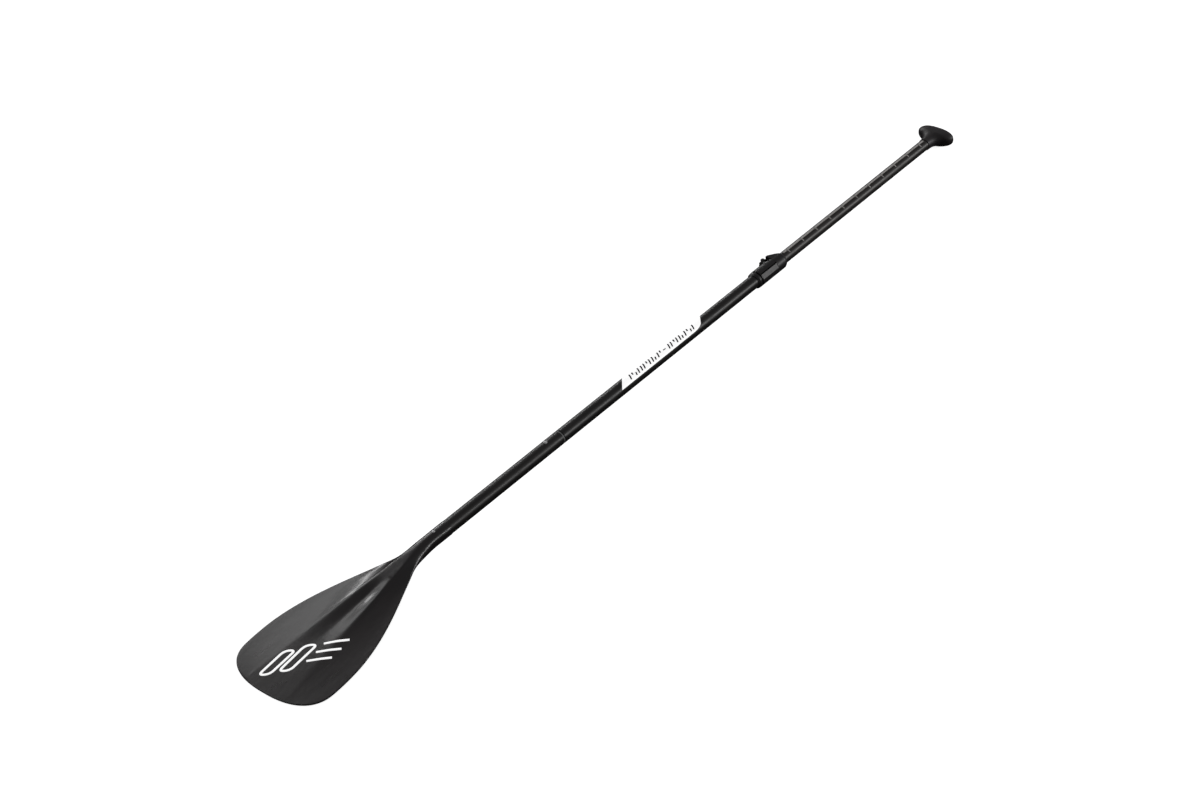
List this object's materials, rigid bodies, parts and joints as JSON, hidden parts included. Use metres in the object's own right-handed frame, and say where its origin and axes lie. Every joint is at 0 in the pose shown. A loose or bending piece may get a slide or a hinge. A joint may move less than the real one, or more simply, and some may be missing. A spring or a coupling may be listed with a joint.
{
  "type": "adjustable single blade paddle",
  "caption": "Long single-blade paddle: flat blade, take-down tube with snap button, telescoping upper tube held by a cam-lever clamp, and a palm grip.",
  "frame": {"origin": "on the shaft's axis, at the lower end of the middle tube, where the lower section plugs on", "axes": "+X along the shaft from blade to grip, +Z square to the blade's front face on the snap button's side, +Y completes the right hand"},
  "size_m": [2.1377, 0.2216, 0.0541],
  "materials": {
    "blade_plastic": "moulded, slightly grained",
    "ferrule_plastic": "moulded",
    "rivet_metal": "polished",
    "lower_anodised": "black anodised",
    "foam": "closed-cell foam",
    "seal_rubber": "matt",
    "middle_anodised": "black anodised",
    "spring_steel": "stainless strip",
    "button_metal": "polished",
    "label_film": "printed film",
    "clamp_plastic": "moulded",
    "screw_metal": "threaded",
    "bushing_plastic": "moulded",
    "barrel_metal": "turned",
    "nut_metal": "stainless",
    "knob_plastic": "moulded",
    "lever_plastic": "moulded",
    "glide_plastic": "low-friction",
    "plug_plastic": "moulded",
    "upper_anodised": "black anodised",
    "grip_plastic": "fine grain"
  },
  "bodies": {
    "lower_section": {"blade": "blade_plastic", "neck_ferrule": "ferrule_plastic", "neck_rivets": "rivet_metal", "lower_shaft": "lower_anodised", "float_plug": "foam"},
    "middle_section": {"middle_shaft": "middle_anodised", "joint_ferrule": "ferrule_plastic", "joint_rivets": "rivet_metal", "joint_seal": "seal_rubber", "snap_spring": "spring_steel", "shaft_label": "label_film", "clamp_body": "clamp_plastic", "collar_screw": "screw_metal", "guide_bushing": "bushing_plastic"},
    "snap_button": {"snap_button": "button_metal"},
    "screw_carriage": {"pivot_barrel": "barrel_metal", "captive_nut": "nut_metal"},
    "tension_screw": {"tension_screw": "screw_metal", "adjusting_knob": "knob_plastic"},
    "clamp_lever": {"clamp_lever": "lever_plastic"},
    "glide": {"glide_ring": "glide_plastic"},
    "upper_section": {"end_plug": "plug_plastic", "upper_shaft": "upper_anodised", "t_grip": "grip_plastic", "grip_rivet": "rivet_metal"}
  },
  "joints": [
    {"name": "take_down", "type": "slide", "parent": "lower_section", "child": "middle_section", "axis": [1, 0, 0], "range_m": [0, 0.095], "deforming": ["snap_button"]},
    {"name": "button_press", "type": "slide", "parent": "middle_section", "child": "snap_button", "axis": [0, 0, -1], "range_m": [0, 0.004], "stiffness_N_per_m": 400, "deforming": ["snap_spring"]},
    {"name": "lever_release", "type": "slide", "parent": "middle_section", "child": "screw_carriage", "axis": [0, 0, -1], "range_m": [0, 0.00052359]},
    {"name": "lever_hinge", "type": "hinge", "parent": "screw_carriage", "child": "clamp_lever", "pos_m": [0.6845, 0.0198, 0.008], "axis": [-1, 0, 0], "range_deg": [0, 150]},
    {"name": "knob_turn", "type": "hinge", "parent": "screw_carriage", "child": "tension_screw", "pos_m": [0.6845, 0.0198, 0], "axis": [0, 0, 1], "range_deg": [-360, 360]},
    {"name": "telescope", "type": "slide", "parent": "middle_section", "child": "glide", "axis": [1, 0, 0], "range_m": [-0.5, 0]},
    {"name": "twist", "type": "hinge", "parent": "glide", "child": "upper_section", "pos_m": [0.7, 0, 0], "axis": [1, 0, 0], "continuous": true}
  ],
  "couplings": [
    {"joint": "lever_hinge", "follows": "lever_release", "rad_per_m": 5000}
  ]
}
